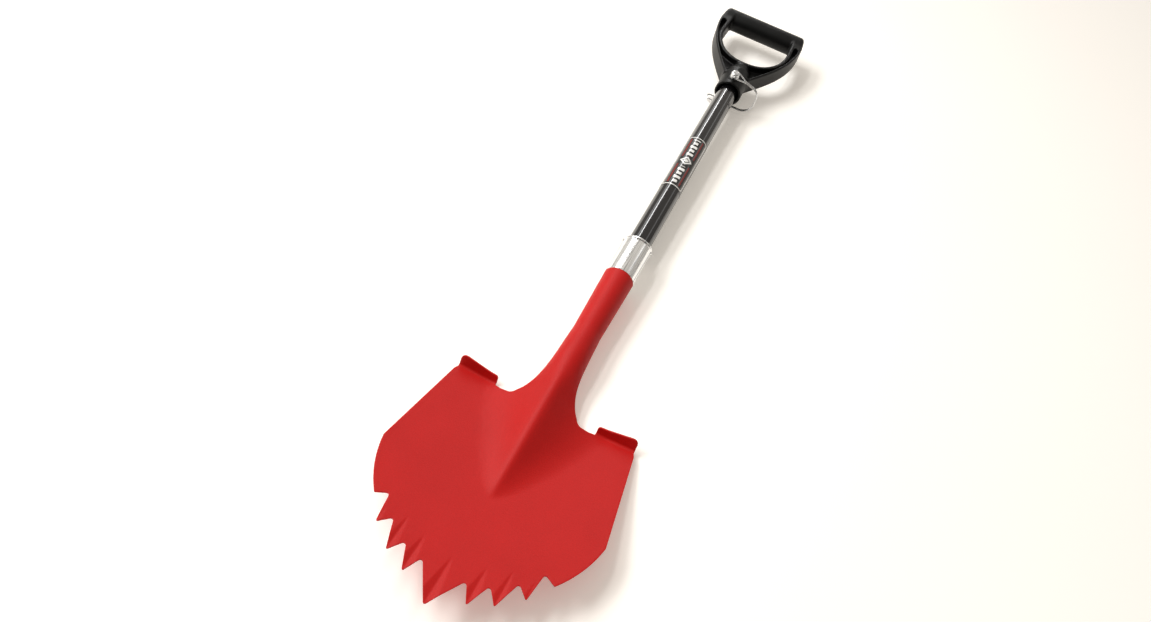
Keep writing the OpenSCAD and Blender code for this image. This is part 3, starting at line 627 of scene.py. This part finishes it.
# ---- D-handle --------------------------------------------------------------
# One injection moulding in glass-filled nylon: a round grip bar between two bowed arms that run into the
# neck. Both faces are cored out between the rim of the hand opening and each arm's outer flange.
mouth_x, opening_x, opening_half_w, arm_w, arm_end_w = 444.0, 521.0, 57.5, 18.5, 14.0
opening_mid, grip_r, end_x = 590.0, 17.5, 658.5
bar_x = end_x - grip_r
frame_half_t, web_half_t, rim_w, flange_t = 14.5, 4.0, 6.5, 3.5
bore_r, seat_z = 16.1, neck_r + 0.6
arms_half, grip_half = opening_half_w + arm_w, opening_half_w + arm_end_w
bow = np.array([(mouth_x + 34, neck_r - 1), (opening_x - 1, neck_r + 25.5), (opening_x + 39, arms_half),
                (opening_mid + 32, arms_half)])
arm = [(1 - q) ** 3 * bow[0] + 3 * (1 - q) ** 2 * q * bow[1]
       + 3 * (1 - q) * q * q * bow[2] + q ** 3 * bow[3] for q in np.linspace(0, 1, 40)]
arm_end = eased([(*arm[-1], 0), (end_x - 2.5, grip_half, 8), (end_x, grip_half - 12, 0)],
                closed=False, steps=8)
half_frame = np.concatenate([[(mouth_x + 34, 0)], arm, arm_end[1:], [(end_x, 0)]])
frame_line = np.concatenate([half_frame, half_frame[::-1][1:-1] * [1, -1]])
bottom = [(opening_mid - (opening_mid - opening_x) * max(0.0, math.cos(q)) ** 0.91,
           opening_half_w * max(0.0, math.sin(q)) ** 0.91) for q in np.linspace(0, math.pi / 2, 40)]
half_opening = np.concatenate([bottom, [(end_x + 2, opening_half_w - 3)]])
opening_line = np.concatenate([half_opening, half_opening[::-1][:-1] * [1, -1]])


def round_max(a, b, r):
    """The part inside both shapes, with the edge between them rounded."""
    u, v = np.maximum(a + r, 0), np.maximum(b + r, 0)
    return np.minimum(np.maximum(a, b), -r) + np.where((a > -r) | (b > -r), np.sqrt(u * u + v * v), 0)


def round_min(a, b, r):
    """Both shapes together, with a fillet where they meet."""
    return -round_max(-a, -b, r)


def handle_field(x, y, z):
    """Distance, near enough, from points to the handle's surface, less than zero inside it."""
    outer, opening = away(x, y, frame_line), away(x, y, opening_line)
    plan = round_max(outer, -opening, 1.0)
    slab = np.abs(z) - frame_half_t
    end_l = grip_r - 2.5
    round_end = (np.sqrt(((x - bar_x) / end_l) ** 2 + (z / frame_half_t) ** 2) - 1) * frame_half_t
    slab = np.where(x > bar_x, np.maximum(slab, round_end), slab)
    body = round_max(plan, slab, 3.0)
    pocket = round_max(rim_w - opening, outer + flange_t, 1.5)
    pocket = round_max(pocket, x - (opening_mid + 25), 6.0)
    pocket = round_max(pocket, web_half_t - np.abs(z), 1.5)
    body = round_max(body, -pocket, 1.0)
    bar = round_max(np.sqrt((x - bar_x) ** 2 + z * z) - grip_r, outer + 1.5, 4.0)
    body = round_min(body, bar, 3.0)
    radius = np.sqrt(y * y + z * z)
    cone = (radius - neck_r) * 0.96 + np.maximum(0, x - (mouth_x + 48)) * 0.34
    neck = round_max(cone, mouth_x - x, 1.2)
    neck = round_max(neck, x - (opening_x - 4), 3.0)
    body = round_min(body, neck, 4.0)
    across = np.sqrt((x - pin_x) ** 2 + y * y)
    body = round_min(body, round_max(across - 8.5, np.abs(z) - seat_z, 0.8), 1.5)
    bore = round_max(radius - bore_r, x - (mouth_x + 60), 0.6)
    lead = (radius - bore_r - 2.6 + (x - mouth_x) * 0.5) * 0.9
    body = round_max(body, -np.minimum(bore, lead), 0.5)
    return round_max(body, -(across - 4.05), 0.4)


def untangled(value):
    """Where a grid square's corners alternate, turns over the one nearest the surface, to close the skin."""
    round_square = ((0, 0), (0, 1), (1, 1), (1, 0))
    for _ in range(3):
        for p, q in ((0, 1), (0, 2), (1, 2)):
            corners = []
            for dp, dq in round_square:
                cut_at = [slice(None)] * 3
                cut_at[p] = slice(dp, value.shape[p] - 1 + dp)
                cut_at[q] = slice(dq, value.shape[q] - 1 + dq)
                corners.append(value[tuple(cut_at)] < 0)
            alternate = (corners[0] == corners[2]) & (corners[1] == corners[3]) & (corners[0] != corners[1])
            for spot in np.argwhere(alternate):
                square = []
                for dp, dq in round_square:
                    corner = spot.copy()
                    corner[p] += dp
                    corner[q] += dq
                    square.append(tuple(corner))
                nearest = min(square, key=lambda corner: abs(value[corner]))
                value[nearest] = -value[nearest]
    return value


def skinned(field, low, high, step):
    """A closed mesh on the surface where the field is zero, one point to each cell that it passes through."""
    axes = [np.arange(a, b + step, step) for a, b in zip(low, high)]
    value = untangled(field(axes[0][:, None, None], axes[1][None, :, None], axes[2][None, None, :]))
    nx, ny, nz = (len(a) - 1 for a in axes)
    total, hits = np.zeros((nx, ny, nz, 3)), np.zeros((nx, ny, nz))
    grid = np.stack(np.meshgrid(*[np.arange(n + 1, dtype=float) for n in (nx, ny, nz)], indexing="ij"), -1)
    for axis in range(3):
        ahead = [slice(None)] * 3
        behind = [slice(None)] * 3
        ahead[axis], behind[axis] = slice(1, None), slice(None, -1)
        a, b = value[tuple(behind)], value[tuple(ahead)]
        crossed = (a < 0) != (b < 0)
        share = np.where(crossed, a / np.where(crossed, a - b, 1), 0)
        point = grid[tuple(behind)].copy()
        point[..., axis] += share
        others = [k for k in range(3) if k != axis]
        for da in (0, 1):
            for db in (0, 1):
                cut_at = [slice(None)] * 3
                cut_at[others[0]] = slice(da, (nx, ny, nz)[others[0]] + da)
                cut_at[others[1]] = slice(db, (nx, ny, nz)[others[1]] + db)
                c = crossed[tuple(cut_at)]
                total += point[tuple(cut_at)] * c[..., None]
                hits += c
    used = hits > 0
    number = np.full(used.shape, -1)
    number[used] = np.arange(used.sum())
    points = total[used] / hits[used][:, None] * step + np.array(low)
    for _ in range(3):
        x, y, z = points.T
        h = 0.05
        here = field(x, y, z)
        slope = np.stack([field(x + h, y, z) - field(x - h, y, z), field(x, y + h, z) - field(x, y - h, z),
                          field(x, y, z + h) - field(x, y, z - h)], -1) / (2 * h)
        move = -here[:, None] * slope / np.maximum(0.25, (slope ** 2).sum(1))[:, None]
        length = np.linalg.norm(move, axis=1)[:, None]
        points = points + move * np.minimum(1, 0.4 * step / np.maximum(length, 1e-9))
    faces = []
    for axis in range(3):
        b_axis, c_axis = (axis + 1) % 3, (axis + 2) % 3
        inside = value < 0
        lo = [slice(None)] * 3
        hi = [slice(None)] * 3
        lo[axis], hi[axis] = slice(None, -1), slice(1, None)
        for q in (b_axis, c_axis):
            lo[q] = hi[q] = slice(1, -1)
        a, b = inside[tuple(lo)], inside[tuple(hi)]
        at = np.argwhere(a != b)
        outward = a[a != b]
        at[:, b_axis] += 1
        at[:, c_axis] += 1
        corner = []
        for db, dc in ((-1, -1), (0, -1), (0, 0), (-1, 0)):
            cell = at.copy()
            cell[:, b_axis] += db
            cell[:, c_axis] += dc
            corner.append(number[cell[:, 0], cell[:, 1], cell[:, 2]])
        quads = np.stack(corner, -1)
        quads[~outward] = quads[~outward][:, ::-1]
        faces += quads.tolist()
    return points, faces


# Glass-filled nylon, moulded against a spark-eroded tool: satin, with a fine even grain. The grain is drawn
# about 0.7 mm across, coarser than the real one, so that it shows.
nylon, tree, shader = finish_of("black_moulded_nylon", Roughness=0.42, Specular_IOR_Level=0.2)
place = add(tree, "ShaderNodeTexCoord").outputs["Object"]
cloud = add(tree, "ShaderNodeTexNoise", {"Vector": place, "Scale": 30.0, "Detail": 2.0})
tone = add(tree, "ShaderNodeValToRGB", {"Fac": cloud.outputs["Fac"]})
tone.color_ramp.elements[0].position, tone.color_ramp.elements[1].position = 0.3, 0.7
tone.color_ramp.elements[0].color, tone.color_ramp.elements[1].color = linear("#050505"), linear("#0B0B0B")
tree.links.new(tone.outputs["Color"], shader.inputs["Base Color"])
grain = add(tree, "ShaderNodeTexNoise", {"Vector": place, "Scale": 1400.0, "Detail": 2.0})
bump = add(tree, "ShaderNodeBump", {"Height": grain.outputs["Fac"], "Strength": 0.25, "Distance": 0.0002})
tree.links.new(bump.outputs["Normal"], shader.inputs["Normal"])
wear = add(tree, "ShaderNodeMapRange", {"Value": cloud.outputs["Fac"], "To Min": 0.33, "To Max": 0.46})
tree.links.new(wear.outputs["Result"], shader.inputs["Roughness"])
handle_skin = skinned(handle_field, (mouth_x - 3, -arms_half - 3, -seat_z - 3),
                      (end_x + 3, arms_half + 3, seat_z + 3), 1.15)
handle = piece("d_handle_moulding", *handle_skin, nylon)
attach(handle, "root")
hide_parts("d_handle")


# ---- Quick-release pin -----------------------------------------------------
# A turned steel pin through the neck and the tube, with a cross-drilled head pressed on. Bright zinc plate,
# slightly clouded.
pin_low, pin_r, head_r, head_h, wire_r = -neck_r - 15.0, 4.0, 7.0, 10.0, 1.2
zinc, tree, shader = finish_of("bright_zinc_plate", Metallic=1.0, Roughness=0.25)
place = add(tree, "ShaderNodeTexCoord").outputs["Object"]
cloud = add(tree, "ShaderNodeTexNoise", {"Vector": place, "Scale": 420.0, "Detail": 3.0})
tone = add(tree, "ShaderNodeValToRGB", {"Fac": cloud.outputs["Fac"]})
tone.color_ramp.elements[0].position, tone.color_ramp.elements[1].position = 0.3, 0.7
tone.color_ramp.elements[0].color, tone.color_ramp.elements[1].color = linear("#C3C5C8"), linear("#E4E4E2")
tree.links.new(tone.outputs["Color"], shader.inputs["Base Color"])
wear = add(tree, "ShaderNodeMapRange", {"Value": cloud.outputs["Fac"], "To Min": 0.16, "To Max": 0.34})
tree.links.new(wear.outputs["Result"], shader.inputs["Roughness"])
bump = add(tree, "ShaderNodeBump", {"Height": cloud.outputs["Fac"], "Strength": 0.06, "Distance": 0.0002})
tree.links.new(bump.outputs["Normal"], shader.inputs["Normal"])
shank_line = [(pin_low, 0.0001, 0), (pin_low, pin_r - 1.2, 0.4), (pin_low + 2, pin_r, 0.6),
              (head_z, pin_r, 0), (head_z, 0.0001, 0)]
shank = lathe("pin_shank_turned", eased(shank_line), zinc, around=64, axis="z", at=(pin_x, 0.0))
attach(shank, "pin")
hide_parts("pin_shank")


def head_field(x, y, z):
    """Distance, near enough, to the surface of the drilled head, less than zero inside it."""
    across = np.sqrt((x - pin_x) ** 2 + y * y)
    top = round_max(across - head_r, z - (head_z + head_h - 0.05), 2.3)
    body = round_max(top, head_z - z, 0.5)
    return round_max(body, -(np.sqrt(y * y + (z - pivot_z) ** 2) - wire_r - 0.05), 0.35)


head_skin = skinned(head_field, (pin_x - 8, -8, head_z - 1), (pin_x + 8, 8, head_z + 11), 0.33)
head = piece("pin_head_drilled", *head_skin, zinc)
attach(head, "pin")
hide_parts("pin_head")


# ---- Wire clip -------------------------------------------------------------
# Spring-steel wire bent in one piece: both ends turn into the head's cross hole, the legs run side by side
# round the neck, and the looped end straddles the end of the pin. Zinc plated like the pin.
clip_out, under_z, tab_reach = -neck_r - 24.5, pin_low + 4.2, 33.0
leg_x, close_x, eye_x = head_r + wire_r + 0.4, wire_r + 0.15, pin_r + wire_r + 0.5
clip_side = stepped(eased([(0, pivot_z, 0), (clip_out, pivot_z - 14, 18), (clip_out + 2, under_z + 1, 22),
                           (tab_reach, under_z + 2, 0)], closed=False, steps=16), 1.2)
run = np.concatenate([[0], np.cumsum(np.linalg.norm(np.diff(clip_side, axis=0), axis=1))])
leg = leg_x + (close_x - leg_x) * smooth((run - 2) / 22)
eye = np.where(run < run[-1] / 2, 0, (eye_x - close_x) * smooth((clip_side[:, 0] + 15) / 11))
spread = np.maximum(leg, close_x + eye)
straight = run < run[-1] - eye_x
one_leg = np.stack([pin_x + spread, clip_side[:, 0], clip_side[:, 1]], -1)[straight]
end_at = one_leg[-1]
bow_end = [(pin_x + eye_x * math.cos(q), end_at[1] + eye_x * math.sin(q), end_at[2]) for q in
           np.linspace(0, math.pi, 20)[1:-1]]
# The bend out of the head's side, from along the hole to along the leg.
turn_in = [(pin_x + 1.6, 0, pivot_z), (pin_x + leg_x - 2.2, 0, pivot_z),
           (pin_x + leg_x - 1.0, -0.12, pivot_z), (pin_x + leg_x - 0.3, -0.8, pivot_z - 0.2)]
one_leg = np.concatenate([turn_in, one_leg[2:]])
other_leg = one_leg[::-1] * [-1, 1, 1] + [2 * pin_x, 0, 0]
wire_path = np.concatenate([one_leg, bow_end, other_leg])


def wire_tree():
    """Sweeps a round section along a path of edges."""
    tree = bpy.data.node_groups.new("bent_wire", "GeometryNodeTree")
    tree.interface.new_socket("Geometry", in_out="INPUT", socket_type="NodeSocketGeometry")
    size = tree.interface.new_socket("Wire radius", in_out="INPUT", socket_type="NodeSocketFloat")
    skin = tree.interface.new_socket("Material", in_out="INPUT", socket_type="NodeSocketMaterial")
    tree.interface.new_socket("Geometry", in_out="OUTPUT", socket_type="NodeSocketGeometry")
    given = add(tree, "NodeGroupInput").outputs
    path = add(tree, "GeometryNodeMeshToCurve", {"Mesh": given["Geometry"]})
    section = add(tree, "GeometryNodeCurvePrimitiveCircle",
                  {"Resolution": 20, "Radius": given["Wire radius"]})
    wire = add(tree, "GeometryNodeCurveToMesh", {"Curve": path.outputs["Curve"], "Fill Caps": True,
                                                 "Profile Curve": section.outputs["Curve"]})
    soft = add(tree, "GeometryNodeSetShadeSmooth", {"Geometry": wire.outputs["Mesh"]})
    real = add(tree, "GeometryNodeRealizeInstances", {"Geometry": soft.outputs[0]})
    done = add(tree, "GeometryNodeSetMaterial", {"Geometry": real.outputs[0], "Material": given["Material"]})
    add(tree, "NodeGroupOutput", {0: done.outputs[0]})
    return tree, size.identifier, skin.identifier


path_mesh = bpy.data.meshes.new("clip_path")
path_mesh.from_pydata(lay(wire_path).tolist(), [(i, i + 1) for i in range(len(wire_path) - 1)], [])
tree, size_id, skin_id = wire_tree()
clip = grown("wire_clip_bent", path_mesh, tree, {size_id: wire_r / 1000, skin_id: zinc})
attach(clip, "clip")
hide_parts("wire_clip")


# ---- Inner plastic and steel parts ------------------------------------------
# The sleeve, the two plugs and the crush sleeve sit inside the tube and the socket. Their moulded or turned
# shapes are kept as they are, in grey polypropylene and in zinc plate.
poly, tree, shader = finish_of("grey_moulded_polypropylene", Roughness=0.5)
place = add(tree, "ShaderNodeTexCoord").outputs["Object"]
cloud = add(tree, "ShaderNodeTexNoise", {"Vector": place, "Scale": 120.0, "Detail": 3.0})
tone = add(tree, "ShaderNodeValToRGB", {"Fac": cloud.outputs["Fac"]})
tone.color_ramp.elements[0].color, tone.color_ramp.elements[1].color = linear("#3A3A3B"), linear("#4A4A4A")
tree.links.new(tone.outputs["Color"], shader.inputs["Base Color"])
bump = add(tree, "ShaderNodeBump", {"Height": cloud.outputs["Fac"], "Strength": 0.15, "Distance": 0.0003})
tree.links.new(bump.outputs["Normal"], shader.inputs["Normal"])
for name, material in (("reducer_sleeve", poly), ("foot_plug", poly), ("end_plug", poly),
                       ("pin_sleeve", zinc)):
    for slot in frame["nodes"][name].material_slots:
        slot.material = material


# ---- Studio ------------------------------------------------------------------
# A translucent white table, faintly lit from below so that shadows stay pale, under two long strip lights
# that hang side by side at the upper left. Colours are shown as they are, without a film curve.
bpy.context.scene.view_settings.view_transform = "Standard"
bpy.ops.mesh.primitive_plane_add(size=14, location=(0, 0, 0))
floor = bpy.context.object
floor.name = "studio_floor"
paper, tree, shader = finish_of("white_acrylic_table", Roughness=0.8, Specular_IOR_Level=0.2)
place = add(tree, "ShaderNodeTexCoord").outputs["Object"]
cloud = add(tree, "ShaderNodeTexNoise", {"Vector": place, "Scale": 2.0, "Detail": 1.0})
tone = add(tree, "ShaderNodeValToRGB", {"Fac": cloud.outputs["Fac"]})
tone.color_ramp.elements[0].color, tone.color_ramp.elements[1].color = linear("#F8F6F2"), linear("#FBF9F6")
tree.links.new(tone.outputs["Color"], shader.inputs["Base Color"])
shader.inputs["Emission Color"].default_value = linear("#FFF6EA")
shader.inputs["Emission Strength"].default_value = 0.26
floor.data.materials.append(paper)

world = bpy.data.worlds.new("studio_air")
bpy.context.scene.world = world
world.use_nodes = True
tree = world.node_tree
facing = add(tree, "ShaderNodeTexCoord").outputs["Generated"]
side_on = add(tree, "ShaderNodeVectorMath", {0: facing, 1: (0.75, 0.3, 0.6)}, operation="DOT_PRODUCT")
level = add(tree, "ShaderNodeMapRange", {"Value": side_on.outputs["Value"], "From Min": -0.6, "From Max": 0.8,
                                         "To Min": 0.08, "To Max": 0.55})
air = tree.nodes["Background"]
air.inputs["Color"].default_value = linear("#FFF8EE")
tree.links.new(level.outputs["Result"], air.inputs["Strength"])


def strip_light(name, where, target, length, width, power, colour):
    """A long area light that faces its target, with its length level."""
    light = bpy.data.lights.new(name, "AREA")
    light.shape = "RECTANGLE"
    light.size = length
    light.size_y = width
    light.energy = power
    light.color = linear(colour)[:3]
    obj = bpy.data.objects.new(name, light)
    out = (Vector(where) - Vector(target)).normalized()
    across = out.cross(Vector((1, 0, 0))).normalized()
    along = across.cross(out)
    turn = [[along[i], across[i], out[i], where[i]] for i in range(3)]
    obj.matrix_world = Matrix(turn + [[0, 0, 0, 1]])
    bpy.context.collection.objects.link(obj)
    return obj


strip_light("key", (-0.2, 2.0, 2.1), (0, 0, 0), 1.9, 0.6, 58, "#FFFEFC")
strip_light("second", (0.2, 0.95, 1.75), (0, 0, 0), 1.3, 0.25, 11, "#FFFDF9")
# Three more strips beyond the grip are only there to be mirrored in the tube and the collar.
for name, y, width, power in (("wide_streak", 1.6, 0.5, 12), ("bright_streak", 0.88, 0.22, 42),
                              ("faint_streak", -1.5, 0.25, 4)):
    streak = strip_light(name, (2.9, y, 1.6), (2.9, 0, 0), 3.6, width, power, "#FFFFFF")
    streak.visible_diffuse = False

camera = bpy.data.cameras.new("camera")
camera.lens, camera.sensor_width = 25.02, 36.0
camera.shift_x = -0.0256
camera.clip_start = 0.01
camera_obj = bpy.data.objects.new("camera", camera)
# The camera's place and two directions, on the shaft's axes.
eye = (-643.6, -112.7, 814.4)
front = (0.582, 0.106, -0.806)
right_hand = (0.408, -0.896, 0.177)
origin = lay([(0, 0, 0)])[0]
front = (lay([front])[0] - origin) * 1000
right_hand = (lay([right_hand])[0] - origin) * 1000
front /= np.linalg.norm(front)
right_hand -= front * (right_hand @ front)
right_hand /= np.linalg.norm(right_hand)
up = np.cross(right_hand, front)
place = lay([eye])[0]
turn = [[right_hand[i], up[i], -front[i], place[i]] for i in range(3)]
camera_obj.matrix_world = Matrix(turn + [[0, 0, 0, 1]])
bpy.context.collection.objects.link(camera_obj)
bpy.context.scene.camera = camera_obj

bpy.context.view_layer.update()
